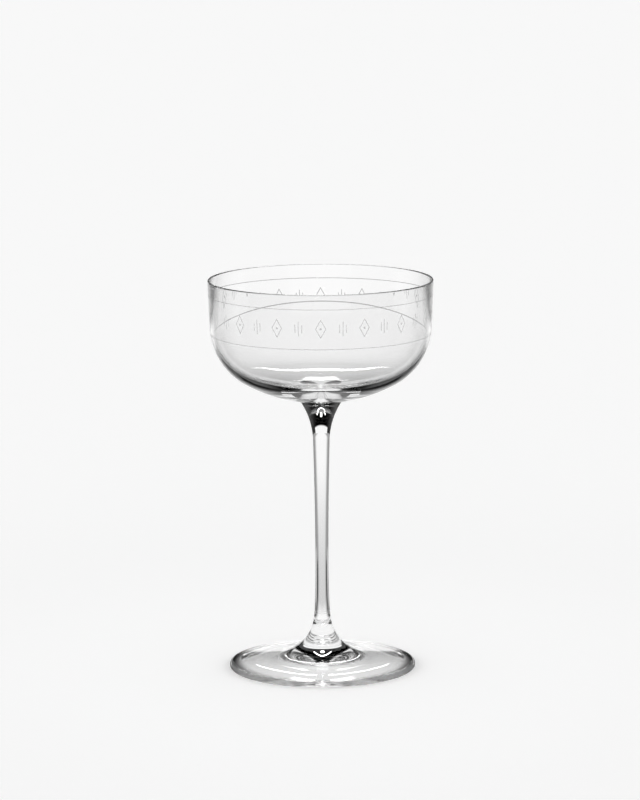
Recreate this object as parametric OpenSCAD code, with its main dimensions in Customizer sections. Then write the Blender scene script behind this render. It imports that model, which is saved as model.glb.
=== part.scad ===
// Champagne coupe of clear glass.
// Three pieces, welded end to end while hot: a wide shallow bowl, a drawn stem and a disc foot.
// Millimetres, +Z up. The origin is the centre of the ring that the foot stands on.

/* [Whole glass] */
// Height from the table to the top of the rim
glass_height = 175; // [155:1:200]

/* [Bowl] */
// Outside diameter of the rim
rim_diameter = 100; // [96:1:104]
// Height of the bowl, from its underside to the top of the rim
bowl_height = 54.7; // [53:0.1:57]
// Thickness of the rim, which is fire-polished to a half round
rim_thickness = 1.1; // [0.9:0.1:1.4]
// Lean of the side outwards on its way up, outside (degrees)
side_lean = 2.4; // [1.6:0.1:2.8]
// How much more the side leans inside than outside, which thickens the wall downwards (degrees)
side_taper = 0.4; // [0.2:0.1:1.2]
// Radius of the knuckle between the side and the base, outside
knuckle_radius = 29.2; // [28:0.2:30]
// How much smaller the knuckle's radius is inside than outside
knuckle_tightening = 3.2; // [2:0.2:4.2]
// Radius of the shallow curve of the base, outside
base_radius = 70.2; // [69:0.2:73]
// How much larger the radius of the base's curve is inside than outside
base_flattening = 19.8; // [14:0.2:20]
// Thickness of the base on the axis
base_thickness = 4.6; // [4.2:0.1:5.4]

/* [Stem] */
// Diameter at the thinnest place
waist_diameter = 5.9; // [5:0.1:7]
// Height of the thinnest place above the table
waist_height = 48; // [36:1:70]
// Diameter at the top of the shaft, where the flare begins
neck_diameter = 7.5; // [6:0.1:9]
// Height of the flare that spreads the stem under the bowl
flare_height = 18; // [12:0.5:24]
// Diameter of the weld between the flare and the bowl
bowl_weld_diameter = 19.6; // [16:0.2:24]
// Diameter at the bottom of the shaft, where it is welded to the foot
foot_weld_diameter = 6.9; // [6:0.1:8]

/* [Foot] */
// Diameter of the foot
foot_diameter = 83; // [72:1:94]
// Height of the boss that carries the stem
boss_height = 24.5; // [18:0.5:32]
// Width and depth of the rounded shoulder round the weld
weld_shoulder = 0.2; // [0.1:0.05:0.5]
// How far the boss falls straight down before it spreads
boss_neck = 8; // [5:0.5:11]
// How far from the boss's run-out it has spread into the disc
boss_skirt = 11; // [7:0.5:14]
// Diameter at which the boss has run out into the disc
boss_diameter = 40; // [34:1:50]
// Fall of the disc's top where the boss runs out into it (degrees)
boss_slope = 10; // [8:0.5:13]
// Fall of the disc's top at its edge (degrees)
disc_slope = 6; // [4:0.5:7]
// Thickness of the disc at its edge
edge_thickness = 2.6; // [2.4:0.1:3.6]
// Radius of the edge's upper corner
edge_top_round = 1.5; // [0.8:0.1:1.6]
// Radius of the edge's lower corner
edge_foot_round = 0.7; // [0.4:0.1:0.8]
// Width of the flat ring that the foot stands on
standing_ring = 3; // [2:0.5:6]
// Height of the hollow under the foot, on the axis
hollow_height = 4; // [2:0.1:4.6]

/* [Hidden] */

// Straight steps along each round stretch of an outline
steps = 24;
$fn = 128;
clear_glass = [0.87, 0.90, 0.90, 0.45];

// Bowl: the rim's half round and the base curve, from which both faces are worked out
rim_centre = [(rim_diameter - rim_thickness) / 2, glass_height - rim_thickness / 2];
bowl_bottom = glass_height - bowl_height;
base_centre = [0, bowl_bottom + base_radius];
inside_lean = side_lean + side_taper;
inside_knuckle_radius = knuckle_radius - knuckle_tightening;
inside_base_radius = base_radius + base_flattening;
inside_base_centre = [0, bowl_bottom + base_thickness + inside_base_radius];

// Weld under the bowl: the part of the base curve that the stem's flare covers
bowl_weld_r = bowl_weld_diameter / 2;
weld_angle = asin(bowl_weld_r / base_radius) - 90;
weld_edge = base_centre + base_radius * [cos(weld_angle), sin(weld_angle)];

// Stem: a shaft that swells both ways from its waist, and an arc that flares it to the weld
waist_r = waist_diameter / 2;
foot_weld_r = foot_weld_diameter / 2;
neck_height = weld_edge[1] - flare_height;
flare_width = bowl_weld_r - shaft_radius(weld_edge[1]);
flare_radius = (pow(flare_height, 2) + pow(flare_width, 2)) / (2 * flare_width);
flare_sweep = asin(flare_height / flare_radius);

// Foot: the disc's corners, the arc of its top, the ends of the boss and the hollow underneath
foot_r = foot_diameter / 2;
edge_top_centre = [foot_r - edge_top_round, edge_thickness - edge_top_round];
edge_foot_centre = [foot_r - edge_foot_round, edge_foot_round];
disc_edge = edge_top_centre + edge_top_round * [sin(disc_slope), cos(disc_slope)];
disc_radius = (disc_edge[0] - boss_diameter / 2) / (sin(boss_slope) - sin(disc_slope));
disc_centre = disc_edge + disc_radius * [sin(disc_slope), cos(disc_slope)];
boss_end = disc_centre - disc_radius * [sin(boss_slope), cos(boss_slope)];
downhill = [cos(boss_slope), -sin(boss_slope)];
boss_start = [foot_weld_r + weld_shoulder, boss_height - weld_shoulder];
hollow_r = edge_foot_centre[0] - standing_ring;
hollow_radius = (pow(hollow_r, 2) + pow(hollow_height, 2)) / (2 * hollow_height);
hollow_centre = [0, hollow_height - hollow_radius];

// A point on a circle, at an angle in degrees
function on_circle(centre, radius, angle) = centre + radius * [cos(angle), sin(angle)];

// An arc from one angle to another, with or without its first point
function arc(centre, radius, from, to, first = 0) =
    [for (i = [first : steps]) on_circle(centre, radius, from + (to - from) * i / steps)];

// A smooth curve that leaves a towards b and comes to d from c, without its first point
function curve(a, b, c, d) =
    [for (i = [1 : steps]) let (t = i / steps, s = 1 - t)
        s * s * s * a + 3 * s * s * t * b + 3 * s * t * t * c + t * t * t * d];

function reversed(points) = [for (i = [len(points) - 1 : -1 : 0]) points[i]];

// Centre of a knuckle arc that is tangent to the base curve and to a side leaning out of the rim,
// where offset is the side's distance from the rim's centre
function knuckle_centre(base_c, base_r, knuckle_r, lean, offset) =
    let (
        uphill = [sin(lean), cos(lean)],
        outwards = [cos(lean), -sin(lean)],
        start = rim_centre + (offset - knuckle_r) * outwards,
        gap = start - base_c,
        reach = gap * uphill,
        fall = reach + sqrt(pow(reach, 2) - gap * gap + pow(base_r - knuckle_r, 2))
    )
    start - fall * uphill;

// One face of the bowl, from an angle on its base curve up to the foot of its side
function bowl_face(base_c, base_r, knuckle_r, lean, offset, from) =
    let (
        centre = knuckle_centre(base_c, base_r, knuckle_r, lean, offset),
        join = atan2(centre[1] - base_c[1], centre[0] - base_c[0])
    )
    concat(arc(base_c, base_r, from, join, 1), arc(centre, knuckle_r, join, -lean, 1));

// Radius of the shaft at a height, without the flare
function shaft_radius(z) =
    let (
        end_z = z < waist_height ? boss_height : neck_height,
        end_r = z < waist_height ? foot_weld_r : neck_diameter / 2
    )
    waist_r + (end_r - waist_r) * pow((z - waist_height) / (end_z - waist_height), 2);

// The bowl's underside within the weld, which the bowl and the stem share point for point
function weld_seat() = arc(base_centre, base_radius, -90, weld_angle);

function shaft(from_z, to_z, first = 0) =
    [for (i = [first : steps]) let (z = from_z + (to_z - from_z) * i / steps) [shaft_radius(z), z]];

// The flare from the neck up to the last step before the weld's edge
function flare() =
    [for (i = [1 : steps - 1]) let (a = flare_sweep * i / steps, z = neck_height + flare_radius * sin(a))
        [shaft_radius(z) + flare_radius * (1 - cos(a)), z]];

module bowl() {
    half = rim_thickness / 2;
    outside = bowl_face(base_centre, base_radius, knuckle_radius, side_lean, half, weld_angle);
    inside = bowl_face(inside_base_centre, inside_base_radius, inside_knuckle_radius, inside_lean, -half, -90);
    rim = arc(rim_centre, half, -side_lean, 180 - inside_lean);
    inside_bottom = inside_base_centre - [0, inside_base_radius];
    color(clear_glass)
    rotate_extrude()
    polygon(concat(weld_seat(), outside, rim, reversed(inside), [inside_bottom]));
}

module stem() {
    below = shaft(boss_height, waist_height);
    above = shaft(waist_height, neck_height, 1);
    color(clear_glass)
    rotate_extrude()
    polygon(concat([[0, boss_height]], below, above, flare(), reversed(weld_seat())));
}

module foot() {
    weld = [[0, boss_height], [foot_weld_r, boss_height]];
    shoulder = arc([foot_weld_r, boss_start[1]], weld_shoulder, 90, 0, 1);
    boss = curve(boss_start, boss_start - [0, boss_neck], boss_end - boss_skirt * downhill, boss_end);
    disc = arc(disc_centre, disc_radius, -90 - boss_slope, -90 - disc_slope, 1);
    edge_top = arc(edge_top_centre, edge_top_round, 90 - disc_slope, 0, 1);
    edge_foot = arc(edge_foot_centre, edge_foot_round, 0, -90);
    hollow = arc(hollow_centre, hollow_radius, atan2(-hollow_centre[1], hollow_r), 90);
    color(clear_glass)
    rotate_extrude()
    polygon(concat(weld, shoulder, boss, disc, edge_top, edge_foot, hollow));
}

bowl();
stem();
foot();
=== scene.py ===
"""Clear champagne coupe: a blown bowl, a drawn stem and a disc foot, welded, with an engraved border."""
import math

import bmesh
import bpy
from mathutils import Matrix, Vector
from mathutils.geometry import interpolate_bezier


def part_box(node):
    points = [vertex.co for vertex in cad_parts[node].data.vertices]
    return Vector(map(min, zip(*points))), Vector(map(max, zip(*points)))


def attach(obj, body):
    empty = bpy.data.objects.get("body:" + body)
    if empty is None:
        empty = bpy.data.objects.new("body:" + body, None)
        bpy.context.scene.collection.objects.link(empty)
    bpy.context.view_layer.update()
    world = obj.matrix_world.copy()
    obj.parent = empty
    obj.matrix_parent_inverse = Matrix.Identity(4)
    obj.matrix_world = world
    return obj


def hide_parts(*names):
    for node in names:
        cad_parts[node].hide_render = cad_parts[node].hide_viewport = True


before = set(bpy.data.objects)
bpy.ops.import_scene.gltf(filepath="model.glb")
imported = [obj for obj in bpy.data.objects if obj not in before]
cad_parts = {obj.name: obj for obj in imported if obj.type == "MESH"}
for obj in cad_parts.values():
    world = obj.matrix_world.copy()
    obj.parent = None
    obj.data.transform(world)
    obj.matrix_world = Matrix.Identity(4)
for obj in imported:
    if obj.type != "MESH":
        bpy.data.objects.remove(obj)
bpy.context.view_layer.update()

scene = bpy.context.scene

# Sizes that the frame gives, in metres
bowl_low, bowl_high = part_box("bowl")
_, stem_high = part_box("stem")
_, foot_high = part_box("foot")
RIM_R = bowl_high.x
RIM_Z = bowl_high.z
BOWL_BOTTOM = bowl_low.z
BOWL_WELD_R = stem_high.x
BOSS_Z = foot_high.z
FOOT_R = foot_high.x

# Sizes within the pieces, in metres, and angles in radians
MM = 0.001
RIM_THICK = 1.1 * MM
SIDE_LEAN = math.radians(2.4)
INSIDE_LEAN = math.radians(2.8)
KNUCKLE = 29.2 * MM
INSIDE_KNUCKLE = 26 * MM
BASE = 70.2 * MM
INSIDE_BASE = 90 * MM
BASE_THICK = 4.6 * MM
WAIST_R = 2.95 * MM
WAIST_Z = 48 * MM
NECK_R = 3.75 * MM
FLARE = 18 * MM
FOOT_WELD_R = 3.45 * MM
SHOULDER = 0.2 * MM
BOSS_NECK = 8 * MM
BOSS_SKIRT = 11 * MM
BOSS_R = 20 * MM
BOSS_SLOPE = math.radians(10)
DISC_SLOPE = math.radians(6)
EDGE_THICK = 2.6 * MM
EDGE_TOP_ROUND = 1.5 * MM
EDGE_FOOT_ROUND = 0.7 * MM
STANDING_RING = 3 * MM
HOLLOW = 4 * MM

# Engraved border on the bowl's side, in metres
RING_ZS = (151.2 * MM, 168.6 * MM)
ROW_Z = 160.2 * MM
REPEATS = 16
LINE = 0.32 * MM
LOZENGE = (2.4 * MM, 4.2 * MM)
DOT_R = 0.5 * MM
DOT_STEPS = 10
BAR_LENGTHS = (3.6 * MM, 6.4 * MM, 3.6 * MM)
BAR_GAP = 1.5 * MM
SUNK, PROUD = 0.02 * MM, 0.03 * MM

# Fineness of the meshes: steps round a turn and along arcs, and the least angle of a sharp edge
TURN_STEPS = 256
SECTORS = 8
ARC_STEPS = 24
FINE_STEPS = 12
SHARP = math.radians(30)
# Points this close are one, and heights this close are level, in metres
MERGE = 1e-7
LEVEL_WITH = 1e-6
# A normal that rises more than this faces up
FACING_UP = 0.5

# Clear glass, with a slow ripple in its surface that is RIPPLE_HIGH metres high
GLASS_COLOUR = (1, 1, 1, 1)
GLASS_IOR = 1.52
RIPPLE_SCALE = 45
RIPPLE_DETAIL = 1
RIPPLE_HIGH = 0.01 * MM

# Frosting of the engraved lines: least values, and how much the grain adds to them
FROST_GREY, GRAIN_GREY = 0.35, 0.2
FROST_ALPHA, GRAIN_ALPHA = 0.2, 0.2
FROST_ROUGH = 0.7
FROST_IOR = 1.1
GRAIN_SCALE = 5000
GRAIN_DETAIL = 2
GRAIN_RAMP = (0.3, 0.7)

# Camera, from the ellipses of the rim and the foot
PICTURE_HIGH = 800
FOCAL_PX = 3860.3
SENSOR = 36
CAMERA_AT = Vector((0, -1.6878, 0.41287))
PITCH, YAW, ROLL = 0.17132, -0.000285, -0.005633

# Times that light may be bent or thrown back within the glass
BOUNCES = 160

# To the camera, table and room are one pale grey
BACKGROUND = 0.939
# Share of the table's grey that is light from the room, which the glass can shade
SHADOW_SHARE = 0.7
TABLE_R = 20
TABLE_STEPS = 96

# The room lights the table from low down all round, and fades between these sines of elevation
ROOM_LIGHT = 2.2
ROOM_LOW, ROOM_HIGH = 0.4, 0.75
ROOM_FADE = ROOM_HIGH - ROOM_LOW
# What reaches the table: the full part and the eased fade, both weighed by the sine of elevation
EASED_WEIGHT = 0.3
TABLE_LIGHT = ROOM_LIGHT * (ROOM_LOW**2 + ROOM_FADE * (ROOM_LOW + EASED_WEIGHT * ROOM_FADE))

# Pool of light that the glass sees on the table behind it: half widths and levels, by the distance behind
POOL_NECK = 0.03
POOL_WIDEST = 1.1
POOL_OPENS = 0.74
POOL_FADE = (0.5, 1.4)
NEAR_LEVEL, FAR_LEVEL = 0.69, 1.03
NEAR_TO_FAR = (0.1, 0.6)
CLOSE_LEVEL = 1.0
CLOSE_FADE = (0.07, 0.17)

# A painted patch of light on the table, which the glass sees under its foot
FOOT_SPOT = 1.0
FOOT_SPOT_FADE = (0.034, 0.040)

# Dimmer painted light on the table that the glass sees round the pool, and a brighter painted ring of it
# beside the glass
TABLE_DIM = 0.35
TABLE_DIM_START = (0.2, 0.24)
SIDES_DIM = 0.55
SIDES_START = (0.06, 0.12)
SIDES_END = (0.24, 0.3)
SIDES_SLOPE = 0.8
SIDES_SOFT = (-0.01, 0.01)
BEHIND = (-0.1, 0.05)

# The point that the light boxes face
GLASS_MIDDLE = Vector((0, 0, 0.06))


def at(r, z):
    """A point of a profile, at radius r and height z."""
    return Vector((r, 0, z))


def on_circle(centre, radius, angle):
    return centre + radius * at(math.cos(angle), math.sin(angle))


def angle_from(centre, point):
    return math.atan2(point.z - centre.z, point.x - centre.x)


# Centres and angles that the profiles share
RIM_CENTRE = at(RIM_R - RIM_THICK / 2, RIM_Z - RIM_THICK / 2)
BASE_CENTRE = at(0, BOWL_BOTTOM + BASE)
INSIDE_BASE_CENTRE = at(0, BOWL_BOTTOM + BASE_THICK + INSIDE_BASE)
WELD_SWEEP = math.asin(BOWL_WELD_R / BASE)
WELD_EDGE = on_circle(BASE_CENTRE, BASE, WELD_SWEEP - math.pi / 2)


def placed(name, data):
    """A new object in the scene."""
    made = bpy.data.objects.new(name, data)
    scene.collection.objects.link(made)
    return made


def mesh_object(name, bm):
    """A new object from a finished bmesh, which is freed."""
    mesh = bpy.data.meshes.new(name)
    bm.to_mesh(mesh)
    bm.free()
    return placed(name, mesh)


def piece(name, bm):
    """A piece of the glass."""
    made = mesh_object(name, bm)
    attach(made, "root")
    return made


def everything(bm):
    return bm.verts[:] + bm.edges[:] + bm.faces[:]


def verts_in(geom):
    """The vertices among what an operator gives back."""
    return [item for item in geom if isinstance(item, bmesh.types.BMVert)]


def close_up(bm):
    """Merges the points that meet, then turns all faces outwards."""
    bmesh.ops.remove_doubles(bm, verts=bm.verts, dist=MERGE)
    bmesh.ops.recalc_face_normals(bm, faces=bm.faces)


class Profile:
    """An outline in the XZ half plane, traced from its start by lines, arcs and curves, then revolved."""

    def __init__(self, start):
        self.bm = bmesh.new()
        self.end = self.bm.verts.new(start)

    def line(self, point):
        self.end = bmesh.ops.extrude_vert_indiv(self.bm, verts=[self.end])["verts"][0]
        self.end.co = point

    def arc(self, centre, sweep, steps=ARC_STEPS):
        """Turns the end about a centre; a positive sweep goes from +X towards +Z."""
        turned = bmesh.ops.spin(
            self.bm, geom=[self.end], cent=centre, axis=(0, -1, 0), angle=sweep, steps=steps
        )
        self.end = verts_in(turned["geom_last"])[0]

    def curve(self, leaving, coming, point, steps):
        """A Bezier curve from the end to a point, with the handles it leaves and comes by."""
        for place in interpolate_bezier(self.end.co.copy(), leaving, coming, point, steps + 1)[1:]:
            self.line(place)

    def revolve(self, name, on_weld):
        """The solid of revolution, with the faces of its welds on a second material."""
        bm = self.bm
        up = (0, 0, 1)
        # One sector is spun and then copied round, so that all are alike
        sector = math.tau / SECTORS
        bmesh.ops.spin(bm, geom=everything(bm), axis=up, angle=sector, steps=TURN_STEPS // SECTORS)
        rest = math.tau - sector
        bmesh.ops.spin(bm, geom=everything(bm), axis=up, angle=rest, steps=SECTORS - 1, use_duplicate=True)
        close_up(bm)
        for face in bm.faces:
            face.smooth = True
            face.material_index = int(on_weld(face.calc_center_median(), face.normal))
        for edge in bm.edges:
            edge.smooth = edge.calc_face_angle(0) < SHARP
        return piece(name, bm)


def knuckle_centre(base_centre, base, knuckle, lean, offset):
    """Centre of an arc tangent to the base curve and to a side that leans out to the rim."""
    uphill = at(math.sin(lean), math.cos(lean))
    outwards = at(math.cos(lean), -math.sin(lean))
    start = RIM_CENTRE + (offset - knuckle) * outwards
    gap = start - base_centre
    reach = gap.dot(uphill)
    fall = reach + math.sqrt(reach**2 - gap.length_squared + (base - knuckle) ** 2)
    return start - fall * uphill


def blown_bowl():
    half = RIM_THICK / 2
    outer = knuckle_centre(BASE_CENTRE, BASE, KNUCKLE, SIDE_LEAN, half)
    inner = knuckle_centre(INSIDE_BASE_CENTRE, INSIDE_BASE, INSIDE_KNUCKLE, INSIDE_LEAN, -half)
    join = angle_from(BASE_CENTRE, outer)
    inside_join = angle_from(INSIDE_BASE_CENTRE, inner)
    profile = Profile(at(0, BOWL_BOTTOM))
    profile.arc(BASE_CENTRE, WELD_SWEEP)
    profile.arc(BASE_CENTRE, join - WELD_SWEEP + math.pi / 2, 2 * ARC_STEPS)
    profile.arc(outer, -SIDE_LEAN - join, 2 * ARC_STEPS)
    profile.line(on_circle(RIM_CENTRE, half, -SIDE_LEAN))
    profile.arc(RIM_CENTRE, math.pi - INSIDE_LEAN + SIDE_LEAN, FINE_STEPS)
    profile.line(on_circle(inner, INSIDE_KNUCKLE, -INSIDE_LEAN))
    profile.arc(inner, inside_join + INSIDE_LEAN, 2 * ARC_STEPS)
    profile.arc(INSIDE_BASE_CENTRE, -math.pi / 2 - inside_join, 3 * ARC_STEPS)

    def on_weld(middle, normal):
        return middle.z < WELD_EDGE.z and normal.z < 0

    return profile.revolve("blown_bowl", on_weld)


def drawn_stem():
    neck = at(NECK_R, WELD_EDGE.z - FLARE)

    def shaft(end_r, length):
        """Centre of the long arc that swells from the waist to end_r, and its sweep."""
        swell = end_r - WAIST_R
        radius = (length**2 + swell**2) / (2 * swell)
        return at(WAIST_R + radius, WAIST_Z), math.asin(length / radius)

    lower, lower_sweep = shaft(FOOT_WELD_R, WAIST_Z - BOSS_Z)
    upper, upper_sweep = shaft(NECK_R, WELD_EDGE.z - FLARE - WAIST_Z)
    rise = at(math.sin(upper_sweep), math.cos(upper_sweep))
    chord = WELD_EDGE - neck
    flare_sweep = 2 * rise.angle(chord)
    flare_r = chord.length / (2 * math.sin(flare_sweep / 2))
    flare_centre = neck + flare_r * at(rise.z, -rise.x)
    profile = Profile(at(0, BOSS_Z))
    profile.line(at(FOOT_WELD_R, BOSS_Z))
    profile.arc(lower, -lower_sweep)
    profile.arc(upper, -upper_sweep)
    profile.arc(flare_centre, -flare_sweep)
    profile.arc(BASE_CENTRE, -WELD_SWEEP)

    def on_weld(middle, normal):
        under_bowl = middle.z > BOWL_BOTTOM and normal.z > FACING_UP
        return under_bowl or middle.z < BOSS_Z + LEVEL_WITH

    return profile.revolve("drawn_stem", on_weld)


def disc_foot():
    top_centre = at(FOOT_R - EDGE_TOP_ROUND, EDGE_THICK - EDGE_TOP_ROUND)
    low_centre = at(FOOT_R - EDGE_FOOT_ROUND, EDGE_FOOT_ROUND)
    disc_edge = on_circle(top_centre, EDGE_TOP_ROUND, math.pi / 2 - DISC_SLOPE)
    disc_radius = (disc_edge.x - BOSS_R) / (math.sin(BOSS_SLOPE) - math.sin(DISC_SLOPE))
    disc_centre = on_circle(disc_edge, disc_radius, math.pi / 2 - DISC_SLOPE)
    boss_end = on_circle(disc_centre, disc_radius, -math.pi / 2 - BOSS_SLOPE)
    downhill = at(math.cos(BOSS_SLOPE), -math.sin(BOSS_SLOPE))
    hollow_r = low_centre.x - STANDING_RING
    hollow_radius = (hollow_r**2 + HOLLOW**2) / (2 * HOLLOW)
    hollow_centre = at(0, HOLLOW - hollow_radius)
    boss_start = at(FOOT_WELD_R + SHOULDER, BOSS_Z - SHOULDER)
    profile = Profile(at(0, BOSS_Z))
    profile.line(at(FOOT_WELD_R, BOSS_Z))
    profile.arc(at(FOOT_WELD_R, BOSS_Z - SHOULDER), -math.pi / 2, FINE_STEPS)
    profile.curve(boss_start - at(0, BOSS_NECK), boss_end - BOSS_SKIRT * downhill, boss_end, 3 * ARC_STEPS)
    profile.arc(disc_centre, BOSS_SLOPE - DISC_SLOPE)
    profile.arc(top_centre, DISC_SLOPE - math.pi / 2, FINE_STEPS)
    profile.line(low_centre + at(EDGE_FOOT_ROUND, 0))
    profile.arc(low_centre, -math.pi / 2, FINE_STEPS)
    profile.line(at(hollow_r, 0))
    profile.arc(hollow_centre, math.pi / 2 - angle_from(hollow_centre, at(hollow_r, 0)))

    def on_weld(middle, normal):
        return middle.z > BOSS_Z - LEVEL_WITH

    return profile.revolve("disc_foot", on_weld)


def side_radius(z):
    """Outside radius of the bowl, on its straight side or on the knuckle under it."""
    knuckle = knuckle_centre(BASE_CENTRE, BASE, KNUCKLE, SIDE_LEAN, RIM_THICK / 2)
    side_foot = on_circle(knuckle, KNUCKLE, -SIDE_LEAN)
    if z < side_foot.z:
        return knuckle.x + math.sqrt(KNUCKLE**2 - (z - knuckle.z) ** 2)
    return side_foot.x + (z - side_foot.z) * math.tan(SIDE_LEAN)


def flat_stroke(bm, length, place, steps=1):
    """A thin oblong along X with its middle at the origin, moved to its place."""
    made = bmesh.ops.create_grid(bm, x_segments=steps, y_segments=1, size=0.5)["verts"]
    bmesh.ops.scale(bm, vec=(length, LINE, 1), verts=made)
    bmesh.ops.transform(bm, matrix=place, verts=made)


def flat_lozenge(bm):
    """The outline of an upright lozenge with a dot in it."""
    made = bmesh.ops.create_circle(bm, cap_ends=True, segments=4, radius=1)["verts"]
    bmesh.ops.scale(bm, vec=LOZENGE + (1,), verts=made)
    middle = made[0].link_faces[0]
    bmesh.ops.inset_region(bm, faces=[middle], thickness=LINE, use_boundary=True, use_even_offset=True)
    bmesh.ops.delete(bm, geom=[middle], context="FACES_ONLY")
    bmesh.ops.create_circle(bm, cap_ends=True, segments=DOT_STEPS, radius=DOT_R)


def flat_bars(bm, middle):
    """Three upright bars side by side, the middle one longer."""
    upright = Matrix.Rotation(math.pi / 2, 4, "Z")
    for i, length in enumerate(BAR_LENGTHS):
        flat_stroke(bm, length, Matrix.Translation((middle + (i - 1) * BAR_GAP, 0, 0)) @ upright)


def engraved_border():
    """Two plain rings with lozenges and bars between them, laid out flat and then wrapped on the side."""
    girth = math.tau * side_radius(ROW_Z)
    pitch = girth / REPEATS
    bm = bmesh.new()
    flat_lozenge(bm)
    flat_bars(bm, pitch / 2)
    motif = everything(bm)
    for i in range(1, REPEATS):
        copy = bmesh.ops.duplicate(bm, geom=motif)["geom"]
        bmesh.ops.translate(bm, vec=(i * pitch, 0, 0), verts=verts_in(copy))
    for z in RING_ZS:
        flat_stroke(bm, girth, Matrix.Translation((girth / 2, z - ROW_Z, 0)), TURN_STEPS)
    raised = bmesh.ops.extrude_face_region(bm, geom=bm.faces[:])["geom"]
    tops = set(verts_in(raised))
    for vert in bm.verts:
        along, up, _ = vert.co
        radius = side_radius(ROW_Z + up) + (PROUD if vert in tops else -SUNK)
        angle = math.tau * along / girth
        vert.co = (radius * math.cos(angle), radius * math.sin(angle), ROW_Z + up)
    close_up(bm)
    return piece("engraved_border", bm)


class Wire:
    """An output of a node. Sums on it add Math nodes to its tree."""

    def __init__(self, tree, socket=None):
        self.tree = tree
        self.socket = socket

    def add(self, kind, settings=None, sockets=None, out=0):
        """Adds a node, makes its settings, feeds its sockets by name or number, and gives one output."""
        node = self.tree.nodes.new(kind)
        for name, value in (settings or {}).items():
            setattr(node, name, value)
        for name, value in (sockets or {}).items():
            if isinstance(value, Wire):
                self.tree.links.new(value.socket, node.inputs[name])
            else:
                node.inputs[name].default_value = value
        return Wire(self.tree, node.outputs[out] if node.outputs else None)

    def math(self, operation, *values):
        return self.add("ShaderNodeMath", {"operation": operation}, dict(enumerate(values)))

    def __add__(self, other):
        return self.math("ADD", self, other)

    def __radd__(self, other):
        return self.math("ADD", other, self)

    def __sub__(self, other):
        return self.math("SUBTRACT", self, other)

    def __rsub__(self, other):
        return self.math("SUBTRACT", other, self)

    def __mul__(self, other):
        return self.math("MULTIPLY", self, other)

    def __rmul__(self, other):
        return self.math("MULTIPLY", other, self)

    def __truediv__(self, other):
        return self.math("DIVIDE", self, other)

    def __pow__(self, other):
        return self.math("POWER", self, other)

    def __abs__(self):
        return self.math("ABSOLUTE", self)

    def larger(self, other):
        return self.math("MAXIMUM", self, other)

    def ramp(self, low, high):
        """From 0 at low to 1 at high, eased at both ends."""
        sockets = {"Value": self, "From Min": low, "From Max": high}
        return self.add("ShaderNodeMapRange", {"interpolation_type": "SMOOTHSTEP"}, sockets)

    def noise(self, scale, detail):
        """Noise on the object's own coordinates."""
        where = self.add("ShaderNodeTexCoord", out="Object")
        return self.add("ShaderNodeTexNoise", None, {"Vector": where, "Scale": scale, "Detail": detail})

    def places(self, kind="Object"):
        """The x, y and z of a place on the object, or of the direction in the room."""
        where = self.add("ShaderNodeTexCoord", out=kind)
        split = self.add("ShaderNodeSeparateXYZ", None, {0: where}).socket.node.outputs
        return [Wire(self.tree, socket) for socket in split]

    def rays(self):
        """1 for rays straight from the camera, and 1 for rays that come through or off the glass."""
        path = self.add("ShaderNodeLightPath").socket.node.outputs
        names = ("Is Camera Ray", "Is Transmission Ray", "Is Glossy Ray")
        from_camera, through, off = (Wire(self.tree, path[name]) for name in names)
        return from_camera, through.larger(off)

    def surface(self, shader):
        self.add("ShaderNodeOutputMaterial", None, {"Surface": shader})


def node_tree(block):
    """The empty node tree of a new material or world."""
    block.use_nodes = True
    block.node_tree.nodes.clear()
    return Wire(block.node_tree)


def new_material(name):
    made = bpy.data.materials.new(name)
    return made, node_tree(made)


def glass_material():
    made, shade = new_material("clear_glass")
    ripple = shade.noise(RIPPLE_SCALE, RIPPLE_DETAIL)
    bump = shade.add("ShaderNodeBump", None, {"Height": ripple, "Strength": 1, "Distance": RIPPLE_HIGH})
    sockets = {
        "Base Color": GLASS_COLOUR,
        "Roughness": 0,
        "IOR": GLASS_IOR,
        "Transmission Weight": 1,
        "Normal": bump,
    }
    shade.surface(shade.add("ShaderNodeBsdfPrincipled", None, sockets))
    return made


def weld_material():
    """Light passes a weld as if the two pieces were one."""
    made, shade = new_material("fused_weld")
    shade.surface(shade.add("ShaderNodeBsdfTransparent"))
    return made


def engraved_material():
    """Fine frosting that greys what is behind it."""
    made, shade = new_material("engraved_frosting")
    grain = shade.noise(GRAIN_SCALE, GRAIN_DETAIL).ramp(*GRAIN_RAMP)
    sockets = {
        "Base Color": FROST_GREY + GRAIN_GREY * grain,
        "Roughness": FROST_ROUGH,
        "IOR": FROST_IOR,
        "Alpha": FROST_ALPHA + GRAIN_ALPHA * grain,
    }
    shade.surface(shade.add("ShaderNodeBsdfPrincipled", None, sockets))
    return made


def studio_camera():
    data = bpy.data.cameras.new("studio_camera")
    data.sensor_width = SENSOR
    data.lens = FOCAL_PX * SENSOR / PICTURE_HIGH
    made = placed("studio_camera", data)
    pan = Matrix.Rotation(-YAW, 4, "Z")
    tip = Matrix.Rotation(math.pi / 2 - PITCH, 4, "X")
    look = pan @ tip @ Matrix.Rotation(ROLL, 4, "Z")
    made.matrix_world = Matrix.Translation(CAMERA_AT) @ look
    scene.camera = made
    return made


def turntable(camera):
    """The lights keep their places round the camera, as when a glass turns on a table before it."""
    made = placed("turntable", None)
    follow = made.constraints.new("LOCKED_TRACK")
    follow.target = camera
    follow.track_axis = "TRACK_NEGATIVE_Y"
    follow.lock_axis = "LOCK_Z"
    return made


def on_stage(rig, name, bm, material):
    """A part of the studio, which the turntable carries."""
    made = mesh_object(name, bm)
    made.data.materials.append(material)
    made.parent = rig
    return made


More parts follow.
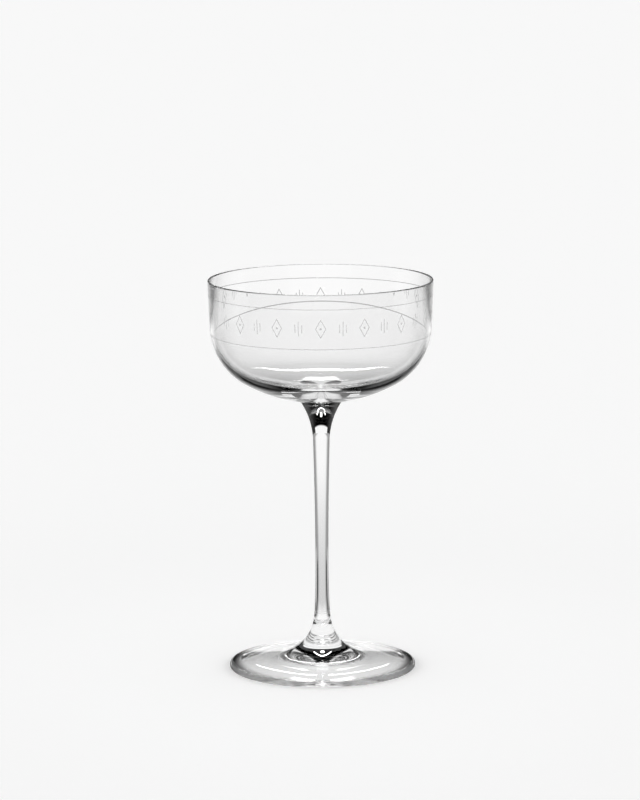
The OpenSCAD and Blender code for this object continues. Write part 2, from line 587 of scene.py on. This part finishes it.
def light_box(rig, name, elevation, distance, size, edge, level, bow=0, azimuth=0):
    """A lit panel with soft edges that faces the glass, which alone sees it; bow lowers its ends."""
    width, height = size
    drop = bow * width**2 / 4
    bm = bmesh.new()
    bmesh.ops.create_grid(bm, x_segments=1, y_segments=1, size=0.5)
    bmesh.ops.scale(bm, vec=(width, height + drop, 1), verts=bm.verts)
    material, shade = new_material(name)
    x, y, _ = shade.places()
    along = (width / 2 - abs(x)).ramp(0, edge)
    across = (height / 2 - abs(y + bow * x * x - drop / 2)).ramp(0, edge)
    shade.surface(shade.add("ShaderNodeEmission", None, {"Color": along * across, "Strength": level}))
    made = on_stage(rig, name, bm, material)
    turn = Matrix.Rotation(math.radians(azimuth), 4, "Z")
    tilt = Matrix.Rotation(math.radians(elevation), 4, "X")
    away = Matrix.Translation((0, distance, 0))
    face = Matrix.Rotation(math.pi / 2, 4, "X")
    made.matrix_local = Matrix.Translation(GLASS_MIDDLE) @ turn @ tilt @ away @ face
    made.visible_camera = False
    made.visible_diffuse = False
    made.visible_shadow = False


def table(rig):
    """A plain table that takes the glass's shadow. The glass itself sees painted light on it: the pool,
    the patch under the foot and the dimmer table.
    """
    bm = bmesh.new()
    bmesh.ops.create_circle(bm, cap_ends=True, segments=TABLE_STEPS, radius=TABLE_R)
    material, shade = new_material("pale_table")
    x, y, _ = shade.places()
    distance = (x * x + y * y) ** 0.5
    # Painted pool of light on the table behind the glass
    width = POOL_NECK + POOL_WIDEST * y * y / (y * y + POOL_OPENS**2)
    level = NEAR_LEVEL + (FAR_LEVEL - NEAR_LEVEL) * y.ramp(*NEAR_TO_FAR)
    close = CLOSE_LEVEL * (1 - y.ramp(*CLOSE_FADE))
    pool = level.larger(close) * (1 - (abs(x) / width).ramp(*POOL_FADE)) * y.ramp(0, POOL_NECK)
    # Painted light: a bright patch under the foot, which only the glass sees
    spot = FOOT_SPOT * (1 - distance.ramp(*FOOT_SPOT_FADE))
    # Painted light: dimmer table round the pool, with a brighter ring beside the glass
    beside = (abs(x) - SIDES_SLOPE * y).ramp(*SIDES_SOFT)
    sides = SIDES_DIM * distance.ramp(*SIDES_START) * (1 - distance.ramp(*SIDES_END)) * beside
    dim = (TABLE_DIM * distance.ramp(*TABLE_DIM_START)).larger(sides) * y.ramp(*BEHIND)
    # Painted light that only the glass sees: the brightest of the pool, the foot patch and the dimmer
    # table
    seen = shade.add("ShaderNodeEmission", None, {"Color": pool.larger(spot).larger(dim)})
    plain = shade.add("ShaderNodeEmission", None, {"Strength": BACKGROUND * (1 - SHADOW_SHARE)})
    grey = (BACKGROUND * SHADOW_SHARE / TABLE_LIGHT,) * 3 + (1,)
    shaded = shade.add("ShaderNodeBsdfDiffuse", None, {"Color": grey})
    both = shade.add("ShaderNodeAddShader", None, {0: plain, 1: shaded})
    _, in_glass = shade.rays()
    shade.surface(shade.add("ShaderNodeMixShader", None, {0: in_glass, 1: both, 2: seen}))
    on_stage(rig, "pale_table", bm, material)


def room():
    """Pale to the camera, dark to the glass, and a low light all round to the table."""
    made = bpy.data.worlds.new("studio")
    shade = node_tree(made)
    from_camera, in_glass = shade.rays()
    height = shade.places("Generated")[2]
    low = ROOM_LIGHT * (1 - height.ramp(ROOM_LOW, ROOM_HIGH))
    level = BACKGROUND * from_camera + low * (1 - from_camera.larger(in_glass))
    sky = shade.add("ShaderNodeBackground", None, {"Color": level})
    shade.add("ShaderNodeOutputWorld", None, {"Surface": sky})
    scene.world = made


# The glass
GLASS = glass_material()
WELD = weld_material()
for made, node in ((blown_bowl(), "bowl"), (drawn_stem(), "stem"), (disc_foot(), "foot")):
    made.data.materials.append(GLASS)
    made.data.materials.append(WELD)
    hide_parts(node)
    node + "_glass"
border = engraved_border()
border.data.materials.append(engraved_material())

# The studio: a card far behind, a weak card in front, and two boxes behind and above
scene.view_settings.view_transform = "Standard"
for kind in ("max", "glossy", "transmission", "transparent_max"):
    setattr(scene.cycles, kind + "_bounces", BOUNCES)
rig = turntable(studio_camera())
table(rig)
light_box(rig, "back_card", elevation=0, distance=3, size=(3.4, 0.8), edge=0.12, level=1.03)
light_box(rig, "front_card", elevation=9, distance=3, size=(4.2, 1.5), edge=0.3, level=0.4, azimuth=180)
light_box(rig, "tall_box", elevation=22, distance=4, size=(0.36, 0.75), edge=0.06, level=5)
light_box(rig, "strip_box", elevation=30.5, distance=4, size=(1.6, 0.3), edge=0.03, level=9, bow=2)
room()
